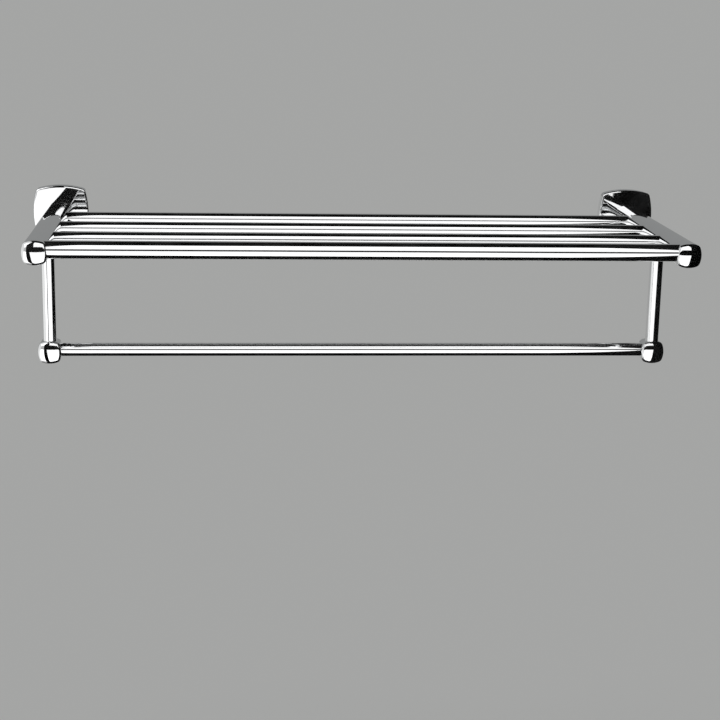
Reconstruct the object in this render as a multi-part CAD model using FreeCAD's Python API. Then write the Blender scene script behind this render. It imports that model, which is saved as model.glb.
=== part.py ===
"""Wall-mounted towel rack: two brackets, three shelf bars, a front rail and a lower towel bar.

Frame, in millimetres: X runs along the rack, +Y points into the wall, +Z is up. The origin lies on the
wall plane, midway between the two brackets, at the height of the arms' centre lines.
"""

import FreeCAD, Part
import math
import os

V = FreeCAD.Vector

# Overall layout
ARM_SPACING = 576.0  # between the centre planes of the two brackets
FRONT_RAIL_REACH = 238.5  # wall to the axis of the front rail
SHELF_BAR_PITCH = 60.5
REAR_BAR_REACH = 57.0
BAR_HEIGHT = 2.0  # shelf bars and front rail above the arms' centre line
POST_REACH = 138.0  # wall to the axes of the drop posts
TOWEL_BAR_DROP = 110.5  # arms' centre line down to the towel bar's axis

# Soft square sections: four bulging faces joined by round corners
ARM_WIDTH = 22.5
ARM_HEIGHT = 22.0
ARM_CROWN_RADIUS = 22.0
ARM_CORNER_RADIUS = 4.5
ARM_WALL = 2.0
LEAST_CORNER_RADIUS = 0.4  # of a hollow or of a plug that fits it
KNOB_WIDTH = 22.0
KNOB_HEIGHT = 22.0

# Round tubes
SHELF_BAR_DIAMETER = 12.0
FRONT_RAIL_DIAMETER = 16.0
POST_DIAMETER = 12.5
TOWEL_BAR_DIAMETER = 12.5
TUBE_WALL = 1.2

# Wall flange
FLANGE_WIDTH = 55.0
FLANGE_HEIGHT = 54.0
FLANGE_CROWN_RADIUS = 80.0
FLANGE_CORNER_RADIUS = 4.5
FLANGE_DEPTH = 9.5  # at the middle of its face
FLANGE_DOME_RADIUS = 1200.0  # the face is almost flat
FLANGE_EDGE_RADIUS = 2.0
FLANGE_WALL = 2.8
ARM_SEAT_REACH = 7.5  # wall to the flat seat that the arm's rear end stands on
ARM_SEAT_WEB = 3.0
ARM_SEAT_MARGIN = 2.2  # of the web around the arm's section

# Pillow faces on the end blocks and the knobs
PILLOW_CROWN_RADIUS = 28.0
PILLOW_EDGE_RADIUS = 4.2
END_BLOCK_BACK_MARGIN = 5.0  # from the rail's socket back to the joint with the arm
END_BLOCK_FRONT_MARGIN = 2.65  # from the rail's socket forward to the top of the pillow
END_BLOCK_SPIGOT_LENGTH = 10.0
KNOB_FRONT_MARGIN = 10.3  # from the post's axis forward to the top of the pillow
KNOB_BACK_MARGIN = 9.0  # from the post's axis back to the knob's rear face
KNOB_BELOW_BAR = 1.5  # the knob's centre lies this far below the towel bar's axis
KNOB_BACK_EDGE_RADIUS = 1.0

# Joints between tubes and blocks
SHELF_BAR_INSERTION = 16.0
FRONT_RAIL_INSERTION = 11.0
TOWEL_BAR_INSERTION = 7.5
POST_KNOB_INSERTION = 2.0
FIT = 0.05  # radial clearance of a tube in its socket and of a plug in its tube

# Wall plates
PLATE_WIDTH = 36.0
PLATE_HEIGHT = 42.0
PLATE_THICKNESS = 2.0
PLATE_CORNER_RADIUS = 3.0
PLATE_LIP_WIDTH = 14.0
PLATE_LIP_DEPTH = 4.2  # with the plate's thickness
WALL_HOLE_DIAMETER = 5.0
WALL_HOLE_SPACING = 29.0

# Fasteners inside
ARM_SCREW_DIAMETER = 6.0
ARM_SCREW_LENGTH = 14.0
ARM_SCREW_HEAD_DIAMETER = 10.5
ARM_SCREW_HEAD_HEIGHT = 3.0
ARM_SCREW_CLEARANCE = 0.25
HEX_SOCKET_SHARE = 0.5  # of a screw's diameter, across the flats
HEX_SIDES = 6
HEAD_SOCKET_SHARE = 0.6  # of the screw head's height
ARM_PLUG_LENGTH = 15.0
TIE_ROD_DIAMETER = 5.0
TIE_ROD_KNOB_DEPTH = 17.5  # below the knob's top
NUT_BLOCK_WIDTH = 13.0
NUT_BLOCK_HEIGHT = 14.0
NUT_BLOCK_LENGTH = 14.0
SET_SCREW_DIAMETER = 4.0
SET_SCREW_RECESS = 0.4
CORNER_SCREW_RECESS = 1.0  # for a screw near a section's round corner
RAIL_SCREW_OFFSET = 5.75  # from the arm's centre plane towards the rail
TOWEL_SCREW_OFFSET = 6.5  # from the knob's centre plane towards the towel bar
SET_SCREW_SOCKET_DEPTH = 1.6
FLANGE_SCREW_DIAMETER = 4.0
THREAD_PLAY = 0.03
OVERCUT = 1.0  # a cut starts this far outside the face it enters

# Places that follow from the sizes above
BAR_REACHES = [REAR_BAR_REACH + step * SHELF_BAR_PITCH for step in range(3)]
BAR_NAMES = ["rear_shelf_bar", "middle_shelf_bar", "front_shelf_bar"]
SIDES = [("left", -1.0), ("right", 1.0)]
ARM_X = ARM_SPACING / 2
ARM_REAR_Y = -ARM_SEAT_REACH
RAIL_SOCKET_RADIUS = FRONT_RAIL_DIAMETER / 2 + FIT
ARM_FRONT_Y = -FRONT_RAIL_REACH + RAIL_SOCKET_RADIUS + END_BLOCK_BACK_MARGIN
END_BLOCK_FRONT_Y = -FRONT_RAIL_REACH - RAIL_SOCKET_RADIUS - END_BLOCK_FRONT_MARGIN
KNOB_REAR_Y = -POST_REACH + KNOB_BACK_MARGIN
KNOB_FRONT_Y = -POST_REACH - KNOB_FRONT_MARGIN
KNOB_Z = -TOWEL_BAR_DROP - KNOB_BELOW_BAR
KNOB_TOP_Z = KNOB_Z + KNOB_HEIGHT / 2


def soft_square(width, height, crown_radius, corner_radius, y, x=0.0, z=0.0):
    """Closed wire in a plane of constant Y: four outward bulging arcs joined by tangent corner arcs."""
    top_centre = V(0, 0, height / 2 - crown_radius)
    side_centre = V(width / 2 - crown_radius, 0, 0)
    reach = crown_radius - corner_radius
    between = side_centre - top_centre
    half_gap = between.Length / 2
    middle = (top_centre + side_centre) * 0.5
    outward = V(-between.z, 0, between.x).normalize()
    if outward.x < 0:
        outward = outward * -1
    corner = middle + outward * math.sqrt(reach**2 - half_gap**2)
    top_end = corner + (corner - top_centre).normalize() * corner_radius
    side_end = corner + (corner - side_centre).normalize() * corner_radius
    corner_mid = corner + V(corner.x, 0, corner.z).normalize() * corner_radius

    def place(point, sign_x, sign_z):
        return V(x + sign_x * point.x, y, z + sign_z * point.z)

    edges = []
    for sign_x, sign_z in [(1, 1), (1, -1), (-1, -1), (-1, 1)]:
        ends = [place(top_end, sign_x, sign_z), place(side_end, sign_x, sign_z)]
        mid = place(corner_mid, sign_x, sign_z)
        edges.append(Part.Arc(ends[0], mid, ends[1]).toShape())
    half_width = V(width / 2, 0, 0)
    half_height = V(0, 0, height / 2)
    for sign in (1, -1):
        start = place(side_end, sign, 1)
        end = place(side_end, sign, -1)
        edges.append(Part.Arc(start, place(half_width, sign, 1), end).toShape())
        start = place(top_end, -1, sign)
        end = place(top_end, 1, sign)
        edges.append(Part.Arc(start, place(half_height, 1, sign), end).toShape())
    return Part.Wire(Part.__sortEdges__(edges))


def prism(wire, length):
    """Solid from a wire in a plane of constant Y, pulled towards the wall by length."""
    return Part.Face(wire).extrude(V(0, length, 0))


def arm_section(inset, y, x=0.0):
    """The arms' section, moved inwards by inset on every side."""
    return soft_square(
        ARM_WIDTH - 2 * inset,
        ARM_HEIGHT - 2 * inset,
        ARM_CROWN_RADIUS - inset,
        max(ARM_CORNER_RADIUS - inset, LEAST_CORNER_RADIUS),
        y,
        x,
    )


def cylinder(diameter, length, start, direction):
    return Part.makeCylinder(diameter / 2, length, start, direction)


def tube(diameter, length, start, direction):
    outer = cylinder(diameter, length, start, direction)
    return outer.cut(cylinder(diameter - 2 * TUBE_WALL, length, start, direction))


def hex_socket(across_flats, depth, mouth, direction):
    """Hexagonal recess to cut from a screw's end; direction points into the screw."""
    radius = across_flats / math.sqrt(3)
    aside = V(0, 1, 0) if abs(direction.y) < 0.5 else V(1, 0, 0)
    across = direction.cross(aside).normalize() * radius
    points = []
    for corner in range(HEX_SIDES + 1):
        turn = FreeCAD.Rotation(direction, 360.0 * corner / HEX_SIDES)
        points.append(mouth + turn.multVec(across))
    return Part.Face(Part.makePolygon(points)).extrude(direction * depth)


def set_screw(diameter, head, tip):
    """Grub screw from its socketed head to its flat tip."""
    direction = (tip - head).normalize()
    body = cylinder(diameter - 2 * THREAD_PLAY, (tip - head).Length, head, direction)
    socket_width = diameter * HEX_SOCKET_SHARE
    return body.cut(hex_socket(socket_width, SET_SCREW_SOCKET_DEPTH, head, direction))


def edges_on_plane(shape, y):
    """Edges of a shape that lie wholly in one plane of constant Y."""
    return [e for e in shape.Edges if abs(e.BoundBox.YMin - y) < 1e-4 and abs(e.BoundBox.YMax - y) < 1e-4]


def front_face(solid):
    """The domed face of a block or a flange."""
    return next(face for face in solid.Faces if isinstance(face.Surface, Part.Sphere))


def pillow_block(width, height, back_y, front_y, x, z):
    """Soft square block along Y whose front is a shallow dome with a rounded rim."""
    section = soft_square(width, height, ARM_CROWN_RADIUS, ARM_CORNER_RADIUS, 0.0)
    dome = Part.makeSphere(PILLOW_CROWN_RADIUS, V(0, PILLOW_CROWN_RADIUS, 0))
    block = prism(section, back_y - front_y).common(dome)
    block = block.makeFillet(PILLOW_EDGE_RADIUS, front_face(block).Edges)
    block.translate(V(x, front_y, z))
    return block


def bar_socket(diameter, side, depth_end_x, y, z):
    """Cylinder along X that cuts a bar's hole from the inner side of a bracket out to depth_end_x."""
    mouth = V(side * (ARM_X - ARM_WIDTH), y, z)
    length = depth_end_x - (ARM_X - ARM_WIDTH)
    return cylinder(diameter + 2 * FIT, length, mouth, V(side, 0, 0))


def bar_end_x(block_width, insertion):
    """Distance from the middle of the rack to the end of a bar inside an arm, block or knob."""
    return ARM_X - block_width / 2 + insertion


def cross_tube(diameter, block_width, insertion, reach, z):
    end = bar_end_x(block_width, insertion)
    return tube(diameter, 2 * end, V(-end, -reach, z), V(1, 0, 0))


def make_side_arm(side):
    """Hollow arm from the flange's seat to the end block, with holes for bars, post and screws."""
    x = side * ARM_X
    length = ARM_REAR_Y - ARM_FRONT_Y
    arm = prism(arm_section(0, ARM_FRONT_Y, x), length)
    arm = arm.cut(prism(arm_section(ARM_WALL, ARM_FRONT_Y, x), length))
    half_height = ARM_HEIGHT / 2
    up = V(0, 0, 1)
    for reach in BAR_REACHES:
        arm = arm.cut(bar_socket(SHELF_BAR_DIAMETER, side, ARM_X, -reach, BAR_HEIGHT))
        arm = arm.cut(cylinder(SET_SCREW_DIAMETER, half_height, V(x, -reach, -half_height), up))
    post_hole_start = V(x, -POST_REACH, -half_height - OVERCUT)
    return arm.cut(cylinder(POST_DIAMETER + 2 * FIT, half_height + OVERCUT, post_hole_start, up))


def flange_body(inset):
    """Soft square slab on the wall around X = 0, moved inwards by inset on all sides but the wall's."""
    outline = soft_square(
        FLANGE_WIDTH - 2 * inset,
        FLANGE_HEIGHT - 2 * inset,
        FLANGE_CROWN_RADIUS - inset,
        FLANGE_CORNER_RADIUS - inset,
        -FLANGE_DEPTH,
    )
    dome_centre = V(0, FLANGE_DOME_RADIUS - FLANGE_DEPTH, 0)
    dome = Part.makeSphere(FLANGE_DOME_RADIUS - inset, dome_centre)
    return prism(outline, FLANGE_DEPTH).common(dome)


def make_wall_flange(side):
    """Soft square cover, hollow behind, with a flat seat for the arm and a set screw hole below."""
    x = side * ARM_X
    outer = flange_body(0.0)
    outer = outer.makeFillet(FLANGE_EDGE_RADIUS, front_face(outer).Edges)
    outer.translate(V(x, 0, 0))
    hollow = flange_body(FLANGE_WALL)
    hollow.translate(V(x, 0, 0))
    web_front = -ARM_SEAT_REACH + ARM_SEAT_WEB
    web = prism(arm_section(-ARM_SEAT_MARGIN, -FLANGE_DEPTH, x), FLANGE_DEPTH + web_front)
    flange = outer.cut(hollow.cut(web))
    seat_start = -FLANGE_DEPTH - OVERCUT
    flange = flange.cut(prism(arm_section(-FIT, seat_start, x), -ARM_SEAT_REACH - seat_start))
    screw_bore = ARM_SCREW_DIAMETER + 2 * ARM_SCREW_CLEARANCE
    flange = flange.cut(cylinder(screw_bore, FLANGE_DEPTH, V(x, -FLANGE_DEPTH, 0), V(0, 1, 0)))
    hole_start = V(x, -flange_screw_reach(), -FLANGE_HEIGHT / 2)
    hole_length = (FLANGE_HEIGHT - PLATE_HEIGHT) / 2
    return flange.cut(cylinder(FLANGE_SCREW_DIAMETER, hole_length, hole_start, V(0, 0, 1)))


def flange_screw_reach():
    """Wall to the axis of the flange's set screw, which bears on the middle of the plate's lower lip."""
    return (PLATE_THICKNESS + PLATE_LIP_DEPTH) / 2


def make_wall_plate(side):
    """Steel plate with a lip above and below, two wall screw holes and a hole for the arm screw's head."""
    x = side * ARM_X
    low = V(x - PLATE_WIDTH / 2, -PLATE_THICKNESS, -PLATE_HEIGHT / 2)
    plate = Part.makeBox(PLATE_WIDTH, PLATE_THICKNESS, PLATE_HEIGHT, low)
    corners = [e for e in plate.Edges if e.BoundBox.YLength > PLATE_THICKNESS / 2]
    plate = plate.makeFillet(PLATE_CORNER_RADIUS, corners)
    for lip_z in (-PLATE_HEIGHT / 2, PLATE_HEIGHT / 2 - PLATE_THICKNESS):
        lip_low = V(x - PLATE_LIP_WIDTH / 2, -PLATE_LIP_DEPTH, lip_z)
        plate = plate.fuse(Part.makeBox(PLATE_LIP_WIDTH, PLATE_LIP_DEPTH, PLATE_THICKNESS, lip_low))
    clearance_hole = ARM_SCREW_HEAD_DIAMETER + PLATE_THICKNESS
    plate = plate.cut(cylinder(clearance_hole, PLATE_THICKNESS, V(x, -PLATE_THICKNESS, 0), V(0, 1, 0)))
    for end in (-1, 1):
        centre = V(x, -PLATE_THICKNESS, end * WALL_HOLE_SPACING / 2)
        plate = plate.cut(cylinder(WALL_HOLE_DIAMETER, PLATE_THICKNESS, centre, V(0, 1, 0)))
    return plate.removeSplitter()


def make_flange_screw(side):
    """Grub screw below the flange, from just inside its edge to the plate's lower lip."""
    x = side * ARM_X
    y = -flange_screw_reach()
    head = V(x, y, -FLANGE_HEIGHT / 2 + SET_SCREW_RECESS)
    return set_screw(FLANGE_SCREW_DIAMETER, head, V(x, y, -PLATE_HEIGHT / 2))


def make_arm_plug(side):
    """Tapped plug that fills the arm's rear end."""
    x = side * ARM_X
    plug = prism(arm_section(ARM_WALL + FIT, ARM_REAR_Y - ARM_PLUG_LENGTH, x), ARM_PLUG_LENGTH)
    bore = cylinder(ARM_SCREW_DIAMETER, ARM_PLUG_LENGTH, V(x, ARM_REAR_Y, 0), V(0, -1, 0))
    return plug.cut(bore)


def make_arm_screw(side):
    """Screw from the flange's hollow, through its web, into the arm's rear plug."""
    x = side * ARM_X
    seat_y = -ARM_SEAT_REACH + ARM_SEAT_WEB
    shank = cylinder(ARM_SCREW_DIAMETER - 2 * THREAD_PLAY, ARM_SCREW_LENGTH, V(x, seat_y, 0), V(0, -1, 0))
    head = cylinder(ARM_SCREW_HEAD_DIAMETER, ARM_SCREW_HEAD_HEIGHT, V(x, seat_y, 0), V(0, 1, 0))
    socket_width = ARM_SCREW_DIAMETER * HEX_SOCKET_SHARE
    mouth = V(x, seat_y + ARM_SCREW_HEAD_HEIGHT, 0)
    socket = hex_socket(socket_width, ARM_SCREW_HEAD_HEIGHT * HEAD_SOCKET_SHARE, mouth, V(0, -1, 0))
    return shank.fuse(head).cut(socket).removeSplitter()


def make_end_block(side):
    """Pillow-shaped front end of an arm: a spigot fits the arm, a socket takes the front rail."""
    x = side * ARM_X
    block = pillow_block(ARM_WIDTH, ARM_HEIGHT, ARM_FRONT_Y, END_BLOCK_FRONT_Y, x, 0.0)
    block = block.fuse(prism(arm_section(ARM_WALL + FIT, ARM_FRONT_Y, x), END_BLOCK_SPIGOT_LENGTH))
    socket_end = bar_end_x(ARM_WIDTH, FRONT_RAIL_INSERTION)
    block = block.cut(bar_socket(FRONT_RAIL_DIAMETER, side, socket_end, -FRONT_RAIL_REACH, BAR_HEIGHT))
    hole_start = V(side * (ARM_X - RAIL_SCREW_OFFSET), -FRONT_RAIL_REACH, -ARM_HEIGHT / 2)
    return block.cut(cylinder(SET_SCREW_DIAMETER, ARM_HEIGHT / 2, hole_start, V(0, 0, 1)))


def make_rail_screw(side):
    """Grub screw below the end block that holds the front rail."""
    x = side * (ARM_X - RAIL_SCREW_OFFSET)
    underside = -crown_height(RAIL_SCREW_OFFSET, ARM_HEIGHT)
    head = V(x, -FRONT_RAIL_REACH, underside + CORNER_SCREW_RECESS)
    tip = V(x, -FRONT_RAIL_REACH, BAR_HEIGHT - FRONT_RAIL_DIAMETER / 2)
    return set_screw(SET_SCREW_DIAMETER, head, tip)


def crown_height(off_centre, height):
    """Height of a bulging upper or lower face above the section's centre, at a distance to one side."""
    return height / 2 - ARM_CROWN_RADIUS + math.sqrt(ARM_CROWN_RADIUS**2 - off_centre**2)


def make_bar_screws(side):
    """Grub screws below the arm, one for each shelf bar."""
    screws = []
    for reach in BAR_REACHES:
        head = V(side * ARM_X, -reach, -ARM_HEIGHT / 2 + SET_SCREW_RECESS)
        tip = V(side * ARM_X, -reach, BAR_HEIGHT - SHELF_BAR_DIAMETER / 2)
        screws.append(set_screw(SET_SCREW_DIAMETER, head, tip))
    return screws


def nut_block_floor():
    """Height at which the nut block's lower edges rest on the arm's bulging floor."""
    inner_crown = ARM_CROWN_RADIUS - ARM_WALL
    drop = math.sqrt(inner_crown**2 - (NUT_BLOCK_WIDTH / 2) ** 2)
    return -(ARM_HEIGHT / 2 - ARM_WALL - inner_crown + drop)


def make_nut_block(side):
    """Tapped block inside the arm, above the drop post."""
    x = side * ARM_X
    low = V(x - NUT_BLOCK_WIDTH / 2, -POST_REACH - NUT_BLOCK_LENGTH / 2, nut_block_floor())
    block = Part.makeBox(NUT_BLOCK_WIDTH, NUT_BLOCK_LENGTH, NUT_BLOCK_HEIGHT, low)
    bore_start = V(x, -POST_REACH, nut_block_floor())
    return block.cut(cylinder(TIE_ROD_DIAMETER, NUT_BLOCK_HEIGHT, bore_start, V(0, 0, 1)))


def make_drop_post(side):
    """Tube from the nut block, through the arm's underside, down into the knob's top."""
    bottom = KNOB_TOP_Z - POST_KNOB_INSERTION
    start = V(side * ARM_X, -POST_REACH, bottom)
    return tube(POST_DIAMETER, nut_block_floor() - bottom, start, V(0, 0, 1))


def make_tie_rod(side):
    """Threaded rod that pulls the knob, the drop post and the nut block together."""
    bottom = KNOB_TOP_Z - TIE_ROD_KNOB_DEPTH
    top = nut_block_floor() + NUT_BLOCK_HEIGHT
    start = V(side * ARM_X, -POST_REACH, bottom)
    return cylinder(TIE_ROD_DIAMETER - 2 * THREAD_PLAY, top - bottom, start, V(0, 0, 1))


def make_knob(side):
    """Pillow-shaped block with a seat for the post, a tapped hole for the rod and a socket for the bar."""
    x = side * ARM_X
    knob = pillow_block(KNOB_WIDTH, KNOB_HEIGHT, KNOB_REAR_Y, KNOB_FRONT_Y, x, KNOB_Z)
    knob = knob.makeFillet(KNOB_BACK_EDGE_RADIUS, edges_on_plane(knob, KNOB_REAR_Y))
    above = V(x, -POST_REACH, KNOB_TOP_Z + OVERCUT)
    down = V(0, 0, -1)
    knob = knob.cut(cylinder(POST_DIAMETER + 2 * FIT, POST_KNOB_INSERTION + OVERCUT, above, down))
    knob = knob.cut(cylinder(TIE_ROD_DIAMETER, TIE_ROD_KNOB_DEPTH + OVERCUT, above, down))
    socket_end = bar_end_x(KNOB_WIDTH, TOWEL_BAR_INSERTION)
    knob = knob.cut(bar_socket(TOWEL_BAR_DIAMETER, side, socket_end, -POST_REACH, -TOWEL_BAR_DROP))
    hole_start = V(side * (ARM_X - TOWEL_SCREW_OFFSET), -POST_REACH, KNOB_Z - KNOB_HEIGHT / 2)
    return knob.cut(cylinder(SET_SCREW_DIAMETER, KNOB_HEIGHT / 2, hole_start, V(0, 0, 1)))


def make_towel_bar_screw(side):
    """Grub screw below the knob that holds the towel bar."""
    x = side * (ARM_X - TOWEL_SCREW_OFFSET)
    underside = KNOB_Z - crown_height(TOWEL_SCREW_OFFSET, KNOB_HEIGHT)
    head = V(x, -POST_REACH, underside + CORNER_SCREW_RECESS)
    tip = V(x, -POST_REACH, -TOWEL_BAR_DROP - TOWEL_BAR_DIAMETER / 2)
    return set_screw(SET_SCREW_DIAMETER, head, tip)


def save(name, shape):
    """Write one node's STEP file and report its size."""
    shape.exportStep(f"parts/{name}.step")
    box = shape.BoundBox
    spans = [(box.XMin, box.XMax), (box.YMin, box.YMax), (box.ZMin, box.ZMax)]
    extents = "  ".join(f"{low:7.1f}..{high:6.1f}" for low, high in spans)
    state = f"solids {len(shape.Solids)} valid {shape.isValid()}"
    print(f"{name:22s} {state} {shape.Volume:9.1f} mm3  {extents}")


def main():
    os.makedirs("parts", exist_ok=True)
    for name, side in SIDES:
        save(f"{name}_wall_plate", make_wall_plate(side))
        save(f"{name}_wall_flange", make_wall_flange(side))
        save(f"{name}_side_arm", make_side_arm(side))
        save(f"{name}_arm_rear_plug", make_arm_plug(side))
        save(f"{name}_end_block", make_end_block(side))
        save(f"{name}_drop_post", make_drop_post(side))
        save(f"{name}_post_nut_block", make_nut_block(side))
        save(f"{name}_tie_rod", make_tie_rod(side))
        save(f"{name}_lower_knob", make_knob(side))
    for name, reach in zip(BAR_NAMES, BAR_REACHES):
        save(name, cross_tube(SHELF_BAR_DIAMETER, ARM_WIDTH, SHELF_BAR_INSERTION, reach, BAR_HEIGHT))
    rail = cross_tube(FRONT_RAIL_DIAMETER, ARM_WIDTH, FRONT_RAIL_INSERTION, FRONT_RAIL_REACH, BAR_HEIGHT)
    save("front_rail", rail)
    towel_bar = cross_tube(
        TOWEL_BAR_DIAMETER, KNOB_WIDTH, TOWEL_BAR_INSERTION, POST_REACH, -TOWEL_BAR_DROP
    )
    save("lower_towel_bar", towel_bar)
    signs = [side for _, side in SIDES]
    save("flange_set_screws", Part.makeCompound([make_flange_screw(side) for side in signs]))
    save("arm_fixing_screws", Part.makeCompound([make_arm_screw(side) for side in signs]))
    bar_screws = [screw for side in signs for screw in make_bar_screws(side)]
    save("shelf_bar_set_screws", Part.makeCompound(bar_screws))
    save("front_rail_set_screws", Part.makeCompound([make_rail_screw(side) for side in signs]))
    save("towel_bar_set_screws", Part.makeCompound([make_towel_bar_screw(side) for side in signs]))


main()
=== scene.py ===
"""Looks of the wall-mounted towel rack: polished chrome in a plain studio. All lengths are metres."""

import math

import bpy
from mathutils import Matrix, Vector


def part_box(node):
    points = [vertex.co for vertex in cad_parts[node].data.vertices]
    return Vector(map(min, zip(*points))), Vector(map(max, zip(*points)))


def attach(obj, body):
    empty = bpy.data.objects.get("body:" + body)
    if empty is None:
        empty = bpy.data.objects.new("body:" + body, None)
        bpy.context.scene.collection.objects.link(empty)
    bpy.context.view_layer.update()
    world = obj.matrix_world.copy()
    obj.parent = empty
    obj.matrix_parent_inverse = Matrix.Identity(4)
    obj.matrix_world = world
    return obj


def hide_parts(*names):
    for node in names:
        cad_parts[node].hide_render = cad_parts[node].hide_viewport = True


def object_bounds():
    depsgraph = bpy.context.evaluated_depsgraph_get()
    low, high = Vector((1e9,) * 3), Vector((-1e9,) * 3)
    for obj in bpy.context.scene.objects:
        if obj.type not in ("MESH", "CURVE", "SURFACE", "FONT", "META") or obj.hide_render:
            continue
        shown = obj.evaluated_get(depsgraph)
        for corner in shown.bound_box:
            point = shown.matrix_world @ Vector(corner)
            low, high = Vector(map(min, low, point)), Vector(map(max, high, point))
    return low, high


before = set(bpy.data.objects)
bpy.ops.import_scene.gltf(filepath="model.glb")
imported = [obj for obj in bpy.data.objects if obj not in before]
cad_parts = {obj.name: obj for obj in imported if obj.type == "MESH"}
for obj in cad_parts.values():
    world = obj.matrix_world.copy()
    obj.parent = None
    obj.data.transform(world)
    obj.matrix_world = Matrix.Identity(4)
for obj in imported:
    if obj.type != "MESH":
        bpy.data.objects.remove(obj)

CAD_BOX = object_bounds()
SIDES = ("left", "right")
SHELF_BARS = ("rear_shelf_bar", "middle_shelf_bar", "front_shelf_bar")
SCREW_GROUPS = ("flange_set", "arm_fixing", "shelf_bar_set", "front_rail_set", "towel_bar_set")

# Camera at the photograph's viewing angle
CAMERA_PLACE = Vector((-0.1252, -1.6305, 0.2424))
CAMERA_YAW = 0.0868
CAMERA_PITCH = 0.238
CAMERA_ROLL = -0.0198
CAMERA_LENS = 80.45
SENSOR = 36.0

# Studio
FLOOR_DROP = 0.75
FLOOR_SIZE = 260.0
WORLD_STRENGTH = 0.26
SUN_STRENGTH = 0.9
SUN_SPREAD, SUN_TILT_X, SUN_TILT_Y = 30, 25, -15  # degrees

# White panels; a leaning one has the (Y, Z) places of its far and near edges
PANEL_RADIANCE = 1.2
PANEL_WIDTH = 3.4
UPPER_PANEL_EDGES = (-1.44, 0.31), (-0.70, 1.02)
LOWER_PANEL_EDGES = (-1.44, -0.095), (-0.67, -0.85)
LEFT_PANEL_SHARE = 0.42  # of the leaning panels' radiance
LEFT_PANEL_FRONT, LEFT_PANEL_BACK = -0.54, 0.0
LEFT_PANEL_HEIGHT = 1.75
LEFT_PANEL_MIDDLE = 0.02

# Black cloth round the rack, with a window in front that shows the leaning panels
CLOTH_LEFT, CLOTH_RIGHT = -0.49, 0.75
CLOTH_LOW, CLOTH_MIDDLE, CLOTH_HIGH = -0.86, 0.04, 1.50
TOP_CLOTH_BACK = 1.2
BOTTOM_CLOTH_BACK = 0.9
FAR_CLOTH_HALF_WIDTH = 1.9
FAR_CLOTH_Y = -1.60
WINDOW_Y = -0.60
WINDOW_HIGH = 0.95
WINDOW_LEFT_ABOVE = -0.33
WINDOW_LEFT_MIDDLE, WINDOW_LEFT_LOW = -0.43, -0.33  # the lower left edge leans
WINDOW_RIGHT, WINDOW_RIGHT_LOW = 0.41, 0.34  # and so does the lower right one

# Soft square castings and arms, with the same curves as in the CAD model
CROWN_RADIUS = 0.022
CORNER_RADIUS = 0.0045
PILLOW_RADIUS = 0.028
PILLOW_EDGE = 0.0042
KNOB_BACK_EDGE = 0.001
SCREW_HOLE_RADIUS = 0.002
DRILL_START = 0.002  # below the piece
DRILL_SIDES = 40
ARC_STEPS = 14
DOME_STEPS = 14
SHARP_ANGLE = 35  # degrees

# Materials; noise is drawn out along an axis whose factor is small
EVEN = (1, 1, 1)
ALONG_X, ALONG_Y, ALONG_Z = (0.02, 1, 1), (1, 0.02, 1), (1, 1, 0.02)
NOISE_LOW, NOISE_HIGH = 0.35, 0.65  # most values of a noise lie between them
HAZE_SCALE, HAZE_DETAIL = 38.0, 6.0
HAZE_METALLIC = 0.995, 0.975
HAZE_ROUGHNESS = 0.01, 0.05
LINE_SCALE, LINE_DETAIL, LINE_HEIGHT = 1400.0, 3.0, 0.0000006
WAVE_SCALE, WAVE_DETAIL, WAVE_HEIGHT = 45.0, 1.0, 0.00001
CLOUD_DETAIL = 8.0
CLOUD_SMOOTHER, CLOUD_ROUGHER = 0.08, 0.1  # change of the roughness
GRAIN_SCALE, GRAIN_DETAIL, GRAIN_HEIGHT = 2500.0, 4.0, 0.00003


def add_camera():
    """Camera that looks slightly down and to the right, towards the wall."""
    yaw_cos, yaw_sin = math.cos(CAMERA_YAW), math.sin(CAMERA_YAW)
    pitch_cos, pitch_sin = math.cos(CAMERA_PITCH), math.sin(CAMERA_PITCH)
    roll_cos, roll_sin = math.cos(CAMERA_ROLL), math.sin(CAMERA_ROLL)
    level_right = Vector((yaw_cos, -yaw_sin, 0.0))
    forward = Vector((yaw_sin * pitch_cos, yaw_cos * pitch_cos, -pitch_sin))
    level_up = Vector((yaw_sin * pitch_sin, yaw_cos * pitch_sin, pitch_cos))
    right = level_right * roll_cos - level_up * roll_sin
    up = level_right * roll_sin + level_up * roll_cos
    data = bpy.data.cameras.new("photo_camera")
    data.lens = CAMERA_LENS
    data.sensor_width = SENSOR
    data.sensor_fit = "HORIZONTAL"
    camera = bpy.data.objects.new("photo_camera", data)
    bpy.context.scene.collection.objects.link(camera)
    turn = Matrix((right, up, -forward)).transposed().to_4x4()
    camera.matrix_world = Matrix.Translation(CAMERA_PLACE) @ turn
    bpy.context.scene.camera = camera


# ---------------------------------------------------------------- studio


def new_material(name):
    material = bpy.data.materials.new(name)
    material.use_nodes = True
    nodes = material.node_tree.nodes
    return material, nodes, material.node_tree.links, nodes["Principled BSDF"]


def matt_material(name, colour, roughness):
    """Material of one colour that mirrors nothing, for what isn't part of the rack."""
    material, _, _, shader = new_material(name)
    shader.inputs["Base Color"].default_value = colour
    shader.inputs["Roughness"].default_value = roughness
    shader.inputs["Specular IOR Level"].default_value = 0.0
    return material


def add_floor():
    """Plain pale floor well below the rack."""
    bpy.ops.mesh.primitive_plane_add(size=FLOOR_SIZE, location=(0, 0, CAD_BOX[0][2] - FLOOR_DROP))
    floor = bpy.context.object
    floor.name = "floor"
    floor.data.materials.append(matt_material("pale_floor", (0.74, 0.74, 0.73, 1), 0.95))


def add_world():
    world = bpy.data.worlds.new("studio")
    bpy.context.scene.world = world
    world.use_nodes = True
    background = world.node_tree.nodes["Background"]
    background.inputs["Color"].default_value = (0.98, 1.0, 1.0, 1)
    background.inputs["Strength"].default_value = WORLD_STRENGTH


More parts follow.
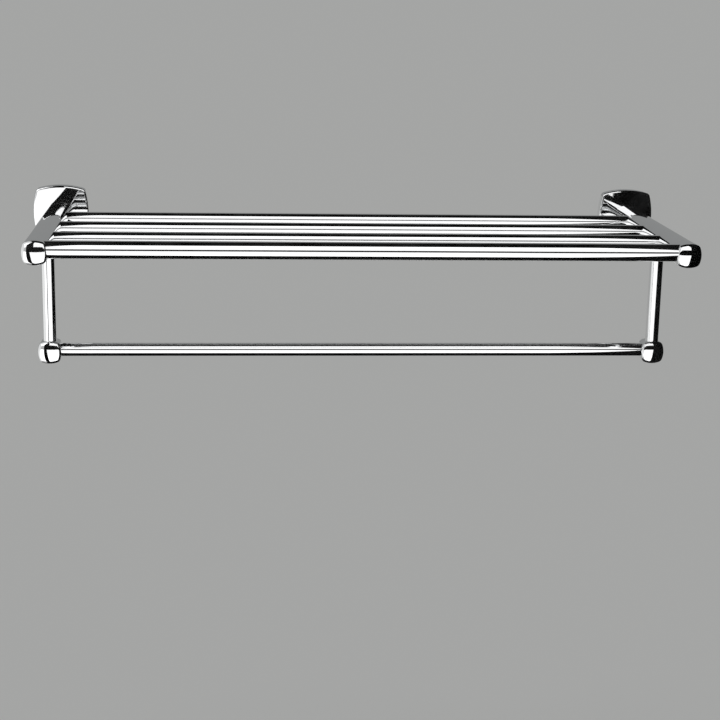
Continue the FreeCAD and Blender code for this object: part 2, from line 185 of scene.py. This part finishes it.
def add_sun():
    """Broad soft light from above that evens out the floor; it leaves no spot on the chrome."""
    data = bpy.data.lights.new("sky_light", "SUN")
    data.energy = SUN_STRENGTH
    data.angle = math.radians(SUN_SPREAD)
    sun = bpy.data.objects.new("sky_light", data)
    sun.rotation_euler = (math.radians(SUN_TILT_X), math.radians(SUN_TILT_Y), 0)
    sun.visible_glossy = False
    bpy.context.scene.collection.objects.link(sun)


def add_softbox(name, centre, facing, width, height, radiance):
    """White panel that shines along facing and is seen only in reflections."""
    data = bpy.data.lights.new(name, "AREA")
    data.shape = "RECTANGLE"
    data.size = width
    data.size_y = height
    data.energy = radiance * math.pi * width * height
    panel = bpy.data.objects.new(name, data)
    panel.location = centre
    panel.rotation_euler = Vector(facing).to_track_quat("-Z", "Y").to_euler()
    panel.visible_camera = False
    panel.visible_diffuse = False
    bpy.context.scene.collection.objects.link(panel)


def add_leaning_softbox(name, far_edge, near_edge, width, radiance):
    """Softbox whose far and near edges run along X at the given places (Y, Z), facing the rack."""
    far, near = Vector(far_edge), Vector(near_edge)
    slope = near - far
    # at right angles to the slope, towards the wall
    facing = Vector((0, abs(slope.y), -slope.x if slope.y > 0 else slope.x))
    middle = (far + near) / 2
    add_softbox(name, (0, middle.x, middle.y), facing, width, slope.length, radiance)


def add_black_cloth(name, corners):
    """Black card of four corners, seen only in reflections."""
    mesh = bpy.data.meshes.new(name)
    mesh.from_pydata([Vector(corner) for corner in corners], [], [(0, 1, 2, 3)])
    cloth = bpy.data.objects.new(name, mesh)
    bpy.context.scene.collection.objects.link(cloth)
    mesh.materials.append(bpy.data.materials["black_cloth"])
    cloth.visible_camera = False
    cloth.visible_diffuse = False
    cloth.visible_shadow = False


def add_panels():
    """White panels above, below and at the left."""
    add_leaning_softbox("upper_panel", *UPPER_PANEL_EDGES, PANEL_WIDTH, PANEL_RADIANCE)
    add_leaning_softbox("lower_panel", *LOWER_PANEL_EDGES, PANEL_WIDTH, PANEL_RADIANCE)
    depth = LEFT_PANEL_BACK - LEFT_PANEL_FRONT
    place = (CLOTH_LEFT, LEFT_PANEL_FRONT + depth / 2, LEFT_PANEL_MIDDLE)
    radiance = PANEL_RADIANCE * LEFT_PANEL_SHARE
    add_softbox("left_panel", place, (1, 0, 0), depth, LEFT_PANEL_HEIGHT, radiance)


def add_upright_cloth(name, y, lower_edge, upper_edge):
    """Black cloth facing the rack's front; an edge is its height and its left and right ends."""
    low, low_left, low_right = lower_edge
    high, high_left, high_right = upper_edge
    corners = [(low_left, low), (low_right, low), (high_right, high), (high_left, high)]
    add_black_cloth(name, [(x, y, z) for x, z in corners])


def add_level_cloth(name, z, front, back):
    corners = [(-CLOTH_RIGHT, front), (CLOTH_RIGHT, front), (CLOTH_RIGHT, back), (-CLOTH_RIGHT, back)]
    add_black_cloth(name, [(x, y, z) for x, y in corners])


def add_side_cloth(name, x, front, back):
    corners = [(front, CLOTH_LOW), (back, CLOTH_LOW), (back, CLOTH_HIGH), (front, CLOTH_HIGH)]
    add_black_cloth(name, [(x, y, z) for y, z in corners])


def add_window_cloths():
    """Five cloths in one plane that leave the window between them."""
    left = (CLOTH_LEFT, WINDOW_LEFT_ABOVE)
    add_upright_cloth("upper_left_cloth", WINDOW_Y, (CLOTH_MIDDLE, *left), (CLOTH_HIGH, *left))
    low_left = (CLOTH_LOW, CLOTH_LEFT, WINDOW_LEFT_LOW)
    middle_left = (CLOTH_MIDDLE, CLOTH_LEFT, WINDOW_LEFT_MIDDLE)
    add_upright_cloth("lower_left_cloth", WINDOW_Y, low_left, middle_left)
    right = (WINDOW_RIGHT, CLOTH_RIGHT)
    add_upright_cloth("upper_right_cloth", WINDOW_Y, (CLOTH_MIDDLE, *right), (CLOTH_HIGH, *right))
    low_right = (CLOTH_LOW, WINDOW_RIGHT_LOW, CLOTH_RIGHT)
    add_upright_cloth("lower_right_cloth", WINDOW_Y, low_right, (CLOTH_MIDDLE, *right))
    above = (WINDOW_LEFT_ABOVE, WINDOW_RIGHT)
    add_upright_cloth("high_cloth", WINDOW_Y, (WINDOW_HIGH, *above), (CLOTH_HIGH, *above))


def add_studio():
    """White panels seen past black cloth, as the chrome mirrors them."""
    add_panels()
    matt_material("black_cloth", (0.002, 0.002, 0.002, 1), 1.0)
    add_window_cloths()
    add_side_cloth("left_cloth", CLOTH_LEFT, WINDOW_Y, LEFT_PANEL_FRONT)
    add_side_cloth("side_cloth", CLOTH_RIGHT, WINDOW_Y, BOTTOM_CLOTH_BACK)
    far = (-FAR_CLOTH_HALF_WIDTH, FAR_CLOTH_HALF_WIDTH)
    add_upright_cloth("far_cloth", FAR_CLOTH_Y, (CLOTH_LOW, *far), (CLOTH_HIGH, *far))
    add_level_cloth("top_cloth", CLOTH_HIGH, WINDOW_Y, TOP_CLOTH_BACK)
    add_level_cloth("bottom_cloth", CLOTH_LOW, LOWER_PANEL_EDGES[1][0], BOTTOM_CLOTH_BACK)


# ---------------------------------------------------------------- smooth castings and arms


def arc_points(centre, radius, start, end):
    """Points and outward normals along an arc, without its last point."""
    result = []
    for step in range(ARC_STEPS):
        angle = start + (end - start) * step / ARC_STEPS
        normal = Vector((math.cos(angle), 0, math.sin(angle)))
        result.append((Vector((centre[0], 0, centre[1])) + normal * radius, normal))
    return result


def soft_square(width, height, crown, corner):
    """Outline around the origin in the XZ plane: bulging sides and round corners, with its normals."""
    top_centre = Vector((0, height / 2 - crown))
    side_centre = Vector((width / 2 - crown, 0))
    between = side_centre - top_centre
    outward = Vector((-between.y, between.x)).normalized()
    if outward.x < 0:
        outward = -outward
    rise = math.sqrt((crown - corner) ** 2 - (between.length / 2) ** 2)
    corner_centre = (top_centre + side_centre) / 2 + outward * rise
    from_top = corner_centre - top_centre
    from_side = corner_centre - side_centre
    top_angle = math.atan2(from_top.y, from_top.x)
    side_angle = math.atan2(from_side.y, from_side.x)
    quarter = arc_points(side_centre, crown, 0.0, side_angle)
    quarter += arc_points(corner_centre, corner, side_angle, top_angle)
    quarter += arc_points(top_centre, crown, top_angle, math.pi / 2)
    outline = []
    for turn in range(4):
        mirrored = turn in (1, 3)
        sign_x = -1 if turn in (1, 2) else 1
        sign_z = -1 if turn in (2, 3) else 1
        points = [(Vector((sign_x * p.x, 0, sign_z * p.z)), Vector((sign_x * n.x, 0, sign_z * n.z)))
                  for p, n in quarter]
        if mirrored:
            # this quarter runs the other way, from the top or bottom to the side
            top = Vector((0, 0, sign_z * height / 2))
            points = [(top, Vector((0, 0, sign_z)))] + points[:0:-1]
        outline += points
    return outline


def ring_at(outline, inset, y):
    return [point - normal * inset + Vector((0, y, 0)) for point, normal in outline]


def domed_front(outline, front_y, dome_radius, edge_radius):
    """Rings from the straight side of a block over its rounded rim to the middle of its dome."""
    dome_centre = Vector((0, front_y + dome_radius, 0))
    rim = []
    for point, normal in outline:
        inner = point - normal * edge_radius
        depth = math.sqrt((dome_radius - edge_radius) ** 2 - inner.length_squared)
        ball = Vector((inner.x, dome_centre.y - depth, inner.z))
        rim.append((ball, normal, (ball - dome_centre).normalized()))
    rings = []
    for step in range(ARC_STEPS + 1):
        share = step / ARC_STEPS
        rings.append([ball + side.slerp(front, share) * edge_radius for ball, side, front in rim])
    contact = rings[-1]
    for step in range(1, DOME_STEPS):
        share = 1 - step / DOME_STEPS
        ring = []
        for point in contact:
            across = Vector((point.x * share, 0, point.z * share))
            depth = math.sqrt(dome_radius**2 - across.length_squared)
            ring.append(Vector((across.x, dome_centre.y - depth, across.z)))
        rings.append(ring)
    return rings


def rounded_back(outline, back_y, edge_radius):
    """Rings from a flat back face over its rounded edge to the straight side of a block."""
    rings = []
    for step in range(ARC_STEPS + 1):
        angle = math.pi / 2 * step / ARC_STEPS
        inset = edge_radius * (1 - math.sin(angle))
        rings.append(ring_at(outline, inset, back_y - edge_radius * (1 - math.cos(angle))))
    return rings


def mesh_from_rings(name, rings, centre):
    """Closed mesh through rings of equally many points, capped at both ends."""
    count = len(rings[0])
    points = [point + centre for ring in rings for point in ring]
    faces = []
    for row in range(len(rings) - 1):
        for column in range(count):
            after = (column + 1) % count
            low, high = row * count, (row + 1) * count
            faces.append((low + column, low + after, high + after, high + column))
    faces.append(tuple(reversed(range(count))))
    last = (len(rings) - 1) * count
    faces.append(tuple(range(last, last + count)))
    mesh = bpy.data.meshes.new(name)
    mesh.from_pydata(points, [], faces)
    mesh.validate()
    piece = bpy.data.objects.new(name, mesh)
    bpy.context.scene.collection.objects.link(piece)
    return piece


def recalculate_normals(piece):
    bpy.ops.object.select_all(action="DESELECT")
    piece.select_set(True)
    bpy.context.view_layer.objects.active = piece
    bpy.ops.object.mode_set(mode="EDIT")
    bpy.ops.mesh.select_all(action="SELECT")
    bpy.ops.mesh.normals_make_consistent(inside=False)
    bpy.ops.object.mode_set(mode="OBJECT")


def drill(piece, start, end, radius):
    """Cut a round hole through the piece between two places."""
    axis = Vector(end) - Vector(start)
    bpy.ops.mesh.primitive_cylinder_add(vertices=DRILL_SIDES, radius=radius, depth=axis.length,
                                        location=(Vector(start) + Vector(end)) / 2)
    cutter = bpy.context.object
    cutter.rotation_euler = axis.to_track_quat("Z", "Y").to_euler()
    modifier = piece.modifiers.new("hole", "BOOLEAN")
    modifier.operation = "DIFFERENCE"
    modifier.solver = "EXACT"
    modifier.object = cutter
    bpy.context.view_layer.objects.active = piece
    bpy.ops.object.modifier_apply(modifier=modifier.name)
    bpy.data.objects.remove(cutter)


def finish_piece(piece, node, material):
    """Smooth shading, material and bookkeeping for a piece that stands in for a CAD node."""
    mesh = piece.data
    mesh.polygons.foreach_set("use_smooth", [True] * len(mesh.polygons))
    mesh.set_sharp_from_angle(angle=math.radians(SHARP_ANGLE))
    mesh.materials.clear()
    mesh.materials.append(material)
    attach(piece, "root")
    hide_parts(node)


def box_of(node):
    low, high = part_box(node)
    return Vector(low), Vector(high)


def section_of(node):
    """A node's box, the soft square outline that fills it across Y, and that outline's centre."""
    low, high = box_of(node)
    outline = soft_square(high.x - low.x, high.z - low.z, CROWN_RADIUS, CORNER_RADIUS)
    centre = Vector(((low.x + high.x) / 2, 0, (low.z + high.z) / 2))
    return low, high, outline, centre


def drill_for_screw(piece, side, screws, underside):
    """Hole from below the piece up to the end of one side's screw in a pair."""
    low, high = box_of(screws)
    x = low.x + SCREW_HOLE_RADIUS if side == "left" else high.x - SCREW_HOLE_RADIUS
    y = (low.y + high.y) / 2
    drill(piece, (x, y, underside - DRILL_START), (x, y, high.z), SCREW_HOLE_RADIUS)


def smooth_end_block(side, material):
    node = f"{side}_end_block"
    low, high, outline, centre = section_of(node)
    arm_front = box_of(f"{side}_side_arm")[0].y
    rings = [ring_at(outline, 0, arm_front)] + domed_front(outline, low.y, PILLOW_RADIUS, PILLOW_EDGE)
    piece = mesh_from_rings(f"{side}_end_block_cast", rings, centre)
    recalculate_normals(piece)
    drill_for_screw(piece, side, "front_rail_set_screws", low.z)
    finish_piece(piece, node, material)


def smooth_knob(side, material):
    node = f"{side}_lower_knob"
    low, high, outline, centre = section_of(node)
    rings = rounded_back(outline, high.y, KNOB_BACK_EDGE)
    rings += domed_front(outline, low.y, PILLOW_RADIUS, PILLOW_EDGE)
    piece = mesh_from_rings(f"{side}_lower_knob_cast", rings, centre)
    recalculate_normals(piece)
    drill_for_screw(piece, side, "towel_bar_set_screws", low.z)
    finish_piece(piece, node, material)


def smooth_arm(side, material):
    node = f"{side}_side_arm"
    low, high, outline, centre = section_of(node)
    rings = [ring_at(outline, 0, high.y), ring_at(outline, 0, low.y)]
    piece = mesh_from_rings(f"{side}_side_arm_tube", rings, centre)
    recalculate_normals(piece)
    for bar in SHELF_BARS:
        bar_low, bar_high = box_of(bar)
        y = (bar_low.y + bar_high.y) / 2
        drill(piece, (centre.x, y, low.z - DRILL_START), (centre.x, y, bar_low.z), SCREW_HOLE_RADIUS)
    finish_piece(piece, node, material)


# ---------------------------------------------------------------- materials


def add_node(nodes, kind, **inputs):
    node = nodes.new(kind)
    for name, value in inputs.items():
        node.inputs[name].default_value = value
    return node


def noise_texture(nodes, links, stretch, scale, detail):
    """Noise in object space, drawn out along the axes where stretch is small."""
    coordinates = nodes.new("ShaderNodeTexCoord")
    mapping = add_node(nodes, "ShaderNodeMapping", Scale=stretch)
    noise = add_node(nodes, "ShaderNodeTexNoise", Scale=scale, Detail=detail)
    links.new(coordinates.outputs["Object"], mapping.inputs["Vector"])
    links.new(mapping.outputs["Vector"], noise.inputs["Vector"])
    return noise.outputs["Fac"]


def map_noise(nodes, links, value, low, high):
    """A noise's value brought between low and high."""
    ramp = nodes.new("ShaderNodeMapRange")
    ramp.inputs["From Min"].default_value = NOISE_LOW
    ramp.inputs["From Max"].default_value = NOISE_HIGH
    ramp.inputs["To Min"].default_value = low
    ramp.inputs["To Max"].default_value = high
    links.new(value, ramp.inputs["Value"])
    return ramp.outputs["Result"]


def add_bump(nodes, links, height, distance, before=None):
    bump = add_node(nodes, "ShaderNodeBump", Strength=1.0, Distance=distance)
    links.new(height, bump.inputs["Height"])
    if before:
        links.new(before, bump.inputs["Normal"])
    return bump.outputs["Normal"]


def chrome(name, grain):
    """Polished chrome: faint polishing lines along one direction, soft waviness and fingertip haze."""
    material, nodes, links, shader = new_material(name)
    shader.inputs["Base Color"].default_value = (0.88, 0.885, 0.89, 1)
    haze = noise_texture(nodes, links, EVEN, HAZE_SCALE, HAZE_DETAIL)
    links.new(map_noise(nodes, links, haze, *HAZE_METALLIC), shader.inputs["Metallic"])
    links.new(map_noise(nodes, links, haze, *HAZE_ROUGHNESS), shader.inputs["Roughness"])
    lines = noise_texture(nodes, links, grain, LINE_SCALE, LINE_DETAIL)
    waves = noise_texture(nodes, links, EVEN, WAVE_SCALE, WAVE_DETAIL)
    normal = add_bump(nodes, links, waves, WAVE_HEIGHT)
    links.new(add_bump(nodes, links, lines, LINE_HEIGHT, normal), shader.inputs["Normal"])
    return material


def worn_metal(name, dark, light, roughness, scale):
    """Plain plated or bare metal with cloudy colour, uneven gloss and a fine grain."""
    material, nodes, links, shader = new_material(name)
    shader.inputs["Metallic"].default_value = 1.0
    clouds = noise_texture(nodes, links, EVEN, scale, CLOUD_DETAIL)
    ramp = nodes.new("ShaderNodeValToRGB")
    ramp.color_ramp.elements[0].position = NOISE_LOW
    ramp.color_ramp.elements[1].position = NOISE_HIGH
    ramp.color_ramp.elements[0].color = (*dark, 1)
    ramp.color_ramp.elements[1].color = (*light, 1)
    links.new(clouds, ramp.inputs["Fac"])
    links.new(ramp.outputs["Color"], shader.inputs["Base Color"])
    gloss = map_noise(nodes, links, clouds, roughness - CLOUD_SMOOTHER, roughness + CLOUD_ROUGHER)
    links.new(gloss, shader.inputs["Roughness"])
    grain = noise_texture(nodes, links, EVEN, GRAIN_SCALE, GRAIN_DETAIL)
    links.new(add_bump(nodes, links, grain, GRAIN_HEIGHT), shader.inputs["Normal"])
    return material


def dress(nodes, material):
    for node in nodes:
        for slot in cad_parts[node].material_slots:
            slot.material = material


bpy.context.scene.view_settings.view_transform = "Standard"
add_camera()
add_floor()
add_world()
add_sun()
add_studio()

bar_chrome = chrome("chrome_bars", ALONG_X)
arm_chrome = chrome("chrome_arms", ALONG_Y)
post_chrome = chrome("chrome_posts", ALONG_Z)
cast_chrome = chrome("chrome_castings", EVEN)
plate_steel = worn_metal("plated_steel", (0.50, 0.50, 0.47), (0.66, 0.66, 0.64), 0.34, 120.0)
screw_steel = worn_metal("screw_steel", (0.30, 0.30, 0.31), (0.46, 0.46, 0.47), 0.30, 300.0)
brass = worn_metal("bare_brass", (0.52, 0.38, 0.16), (0.72, 0.56, 0.27), 0.30, 180.0)

dress([*SHELF_BARS, "front_rail", "lower_towel_bar"], bar_chrome)
for side in SIDES:
    dress([f"{side}_drop_post"], post_chrome)
    dress([f"{side}_side_arm"], arm_chrome)
    dress([f"{side}_wall_flange", f"{side}_end_block", f"{side}_lower_knob"], cast_chrome)
    dress([f"{side}_wall_plate"], plate_steel)
    dress([f"{side}_arm_rear_plug", f"{side}_post_nut_block"], brass)
    dress([f"{side}_tie_rod"], screw_steel)
dress([f"{screws}_screws" for screws in SCREW_GROUPS], screw_steel)
for side in SIDES:
    smooth_end_block(side, cast_chrome)
    smooth_knob(side, cast_chrome)
    smooth_arm(side, arm_chrome)
